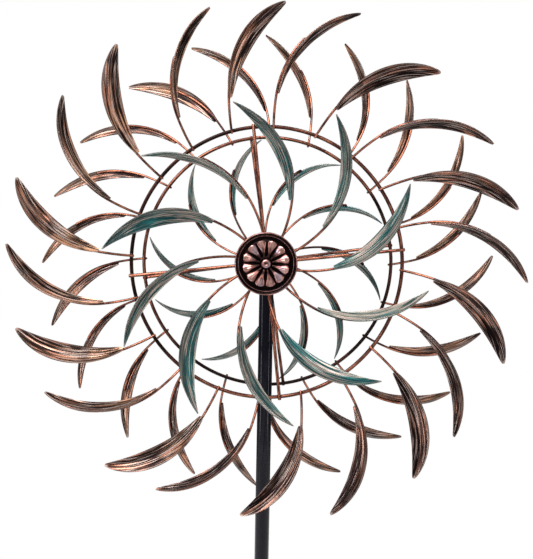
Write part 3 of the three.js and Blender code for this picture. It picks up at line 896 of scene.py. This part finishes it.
upper = Build()
revolve(upper, [
    (8.2, 942.7, 0.5), (8.5, 942.3, 0.5), (8.7, 942.3, 0.6), (9.0, 942.8, 0.8), (9.0, 1396.5, 0.8),
    (9.3, 1398.2, 0.8), (10.2, 1399.6, 0.8), (10.4, 1401.5, 0.6), (8.2, 1401.5, 0.5),
], 1.0)
head_tube = Build()
revolve(head_tube, [
    (4.3, -23.6, 0.5), (4.7, -24.0, 0.5), (10.2, -24.0, 0.6), (11.0, -23.2, 0.9), (11.0, 23.2, 0.9),
    (10.2, 24.0, 0.6), (4.7, 24.0, 0.5), (4.3, 23.6, 0.5),
], 2.0, axis="Y")
upper.merge(head_tube, HEAD)
stand_piece(upper, "pole_upper_fine", BLACK, "pole_upper")

# the axle, with threads of 1 mm pitch at its ends
ROD_R, ROD_END, THREAD_ROOT_R, THREADS = 4.0, 103.6, 3.65, 13
rod_outline = [(0.0, -ROD_END, 0.5), (3.2, -ROD_END, 0.5), (ROD_R, -102.8, 0.5)]
for k in range(THREADS):
    rod_outline += [(ROD_R, -102.6 + k, 0.6), (THREAD_ROOT_R, -102.1 + k, 0.3)]
rod_outline += [(ROD_R, -89.4, 0.6), (ROD_R, 89.4, 0.6)]
for k in range(THREADS):
    rod_outline += [(THREAD_ROOT_R, 90.1 + k, 0.3), (ROD_R, 90.6 + k, 0.6)]
rod_outline += [(ROD_R, 102.8, 0.5), (3.2, ROD_END, 0.5), (0.0, ROD_END, 0.5)]
rod_at_zero, rod = Build(), Build()
revolve(rod_at_zero, rod_outline, 1.0, sides=40, axis="Y")
rod.merge(rod_at_zero, HEAD)
stand_piece(rod, "axle_fine", ZINC, "axle")


def prism(build, outline, thickness, place, seed):
    """An extruded polygon: outline in X and Z, thickness along Y."""
    low = [build.add(place @ Vector((x, 0, z)), (z, x, seed), 0.6) for x, z in outline]
    high = [build.add(place @ Vector((x, thickness, z)), (z, x, seed), 0.6) for x, z in outline]
    build.face(low)
    build.face(high[::-1])
    n = len(outline)
    for i in range(n):
        build.face((low[i], low[(i + 1) % n], high[(i + 1) % n], high[i]))


def turn_about(axis, degrees):
    return Matrix.Rotation(math.radians(degrees), 4, axis)


# the ground fork: a cross-shaped step plate on four flat prongs
PLATE = 5.0
PRONG_OUT = 66.0
half, reach = 15.0, 75.0  # of the cross's bars, in mm from its middle
cross = [
    (half, half), (half, reach), (-half, reach), (-half, half), (-reach, half), (-reach, -half),
    (-half, -half), (-half, -reach), (half, -reach), (half, -half), (reach, -half), (reach, half)]
prong = [(-11, 0.5), (-11, -130), (-1, -190), (1, -190), (11, -130), (11, 0.5)]
fork = Build()
lie_flat = Matrix.Translation((0, 0, PLATE)) @ turn_about("X", -90)
prism(fork, cross, PLATE, turn_about("Z", 45) @ lie_flat, 1.0)
for k in range(4):
    stand_out = Matrix.Translation((0, PRONG_OUT, 0))
    prism(fork, prong, PLATE, turn_about("Z", 45 + 90 * k) @ stand_out, 2.0 + k)
fork_piece = stand_piece(fork, "ground_fork_fine", BLACK, "ground_fork", 30.0)
bevel = fork_piece.modifiers.new("edges", "BEVEL")
bevel.width = 0.9 * MM
bevel.segments = 3
bevel.limit_method = "ANGLE"
bevel.angle_limit = math.radians(30)

socket_tube = Build()
revolve(socket_tube, [
    (9.3, 4.0, 0.5), (14.6, 4.0, 0.5), (14.4, 5.6, 0.6), (13.0, 7.4, 0.6), (12.5, 9.0, 0.7),
    (12.4, 12.0, 0.8), (12.4, 65.2, 0.8), (11.8, 66.0, 0.8), (9.9, 66.0, 0.6), (9.3, 65.4, 0.5),
], 1.0)
stand_piece(socket_tube, "fork_socket_fine", BLACK, "ground_fork")

# carried-over CAD nodes, which only get a better material
CARRIED = {"lock_nut": ZINC, "inner_bearing": BUSH, "outer_bearing": BUSH}
for rotor_side in ROTORS:
    for part, material in CARRIED.items():
        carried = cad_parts[f"{rotor_side}_{part}"]
        if carried.material_slots:
            for material_slot in carried.material_slots:
                material_slot.link = "OBJECT"
                material_slot.material = material
        else:
            carried.data.materials.append(material)

# ------------------------------------------------------------------ stage, light, camera
FLOOR_Z = CAD_BOX[0][2] - 0.5 * MM
FLOOR_R = 2.9
FLOOR_SIDES = 128
floor_mesh = bpy.data.meshes.new("floor")
floor_rim = [2 * math.pi * k / FLOOR_SIDES for k in range(FLOOR_SIDES)]
floor_mesh.from_pydata(
    [(FLOOR_R * math.cos(a), FLOOR_R * math.sin(a), FLOOR_Z) for a in floor_rim],
    [], [tuple(range(FLOOR_SIDES))])
floor = bpy.data.objects.new("floor", floor_mesh)
bpy.context.scene.collection.objects.link(floor)
floor_material, _, floor_shader = new_material("pale_floor")
floor_shader.inputs["Base Color"].default_value = (0.84, 0.84, 0.84, 1)
floor_shader.inputs["Roughness"].default_value = 0.85
floor_mesh.materials.append(floor_material)

# The world lights the object softly from above, and shows as plain white behind it.
world = bpy.data.worlds.new("studio")
bpy.context.scene.world = world
world.use_nodes = True
tree = world.node_tree
tree.nodes.clear()
seen = node(tree, "ShaderNodeBackground")
seen.inputs["Color"].default_value = (1, 1, 1, 1)
lit = node(tree, "ShaderNodeBackground")
sky = node(tree, "ShaderNodeValToRGB")
sky.color_ramp.elements[0].color = (0.05, 0.05, 0.05, 1)
sky.color_ramp.elements[1].color = (0.8, 0.8, 0.8, 1)
sky.color_ramp.elements.new(0.5).color = (0.12, 0.12, 0.125, 1)
upward = node(tree, "ShaderNodeSeparateXYZ")
below_to_above = node(tree, "ShaderNodeMapRange")
below_to_above.inputs["From Min"].default_value = -1.0
mix = node(tree, "ShaderNodeMixShader")
for source, target in (
    (node(tree, "ShaderNodeTexCoord").outputs["Generated"], upward.inputs["Vector"]),
    (upward.outputs["Z"], below_to_above.inputs["Value"]),
    (below_to_above.outputs["Result"], sky.inputs["Fac"]),
    (sky.outputs["Color"], lit.inputs["Color"]),
    (node(tree, "ShaderNodeLightPath").outputs["Is Camera Ray"], mix.inputs["Fac"]),
    (lit.outputs["Background"], mix.inputs[1]),
    (seen.outputs["Background"], mix.inputs[2]),
    (mix.outputs["Shader"], node(tree, "ShaderNodeOutputWorld").inputs["Surface"]),
):
    tree.links.new(source, target)


HUB = Vector((0, 0, AXLE_HEIGHT * MM))


def area_light(name, location, width, height, power):
    """A rectangular light aimed at the hub."""
    data = bpy.data.lights.new(name, "AREA")
    data.shape = "RECTANGLE"
    data.size = width
    data.size_y = height
    data.energy = power
    obj = bpy.data.objects.new(name, data)
    obj.location = location
    obj.rotation_euler = (HUB - Vector(location)).to_track_quat("-Z", "Y").to_euler()
    bpy.context.scene.collection.objects.link(obj)


area_light("key", (-0.7, -1.7, 3.1), 2.2, 1.5, 120)
area_light("right_strip", (2.1, -0.9, 1.2), 0.35, 2.4, 26)
area_light("left_strip", (-2.1, -0.9, 1.2), 0.35, 2.4, 30)
area_light("back", (0.5, 2.3, 2.5), 2.0, 1.4, 50)

# The camera stands 1 m from the axle's middle, at the photo's angle. Its focal length is that of a
# picture 559 pixels high.
FOCAL_PIXELS, PHOTO_HEIGHT, SENSOR = 796.0, 559.0, 36.0
camera_data = bpy.data.cameras.new("camera")
camera_data.sensor_width = SENSOR
camera_data.lens = FOCAL_PIXELS * SENSOR / PHOTO_HEIGHT
camera = bpy.data.objects.new("camera", camera_data)
bpy.context.scene.collection.objects.link(camera)
camera.matrix_world = (
    Matrix.Translation((0.0091, -1.0, 1.4272))
    @ turn_about("Z", 0.53) @ turn_about("X", 90 - 2.237) @ turn_about("Z", 1.05))
bpy.context.scene.camera = camera

scene = bpy.context.scene
scene.view_settings.view_transform = "Standard"
scene.view_settings.look = "None"
scene.view_settings.exposure = 0.0
scene.view_settings.gamma = 1.0
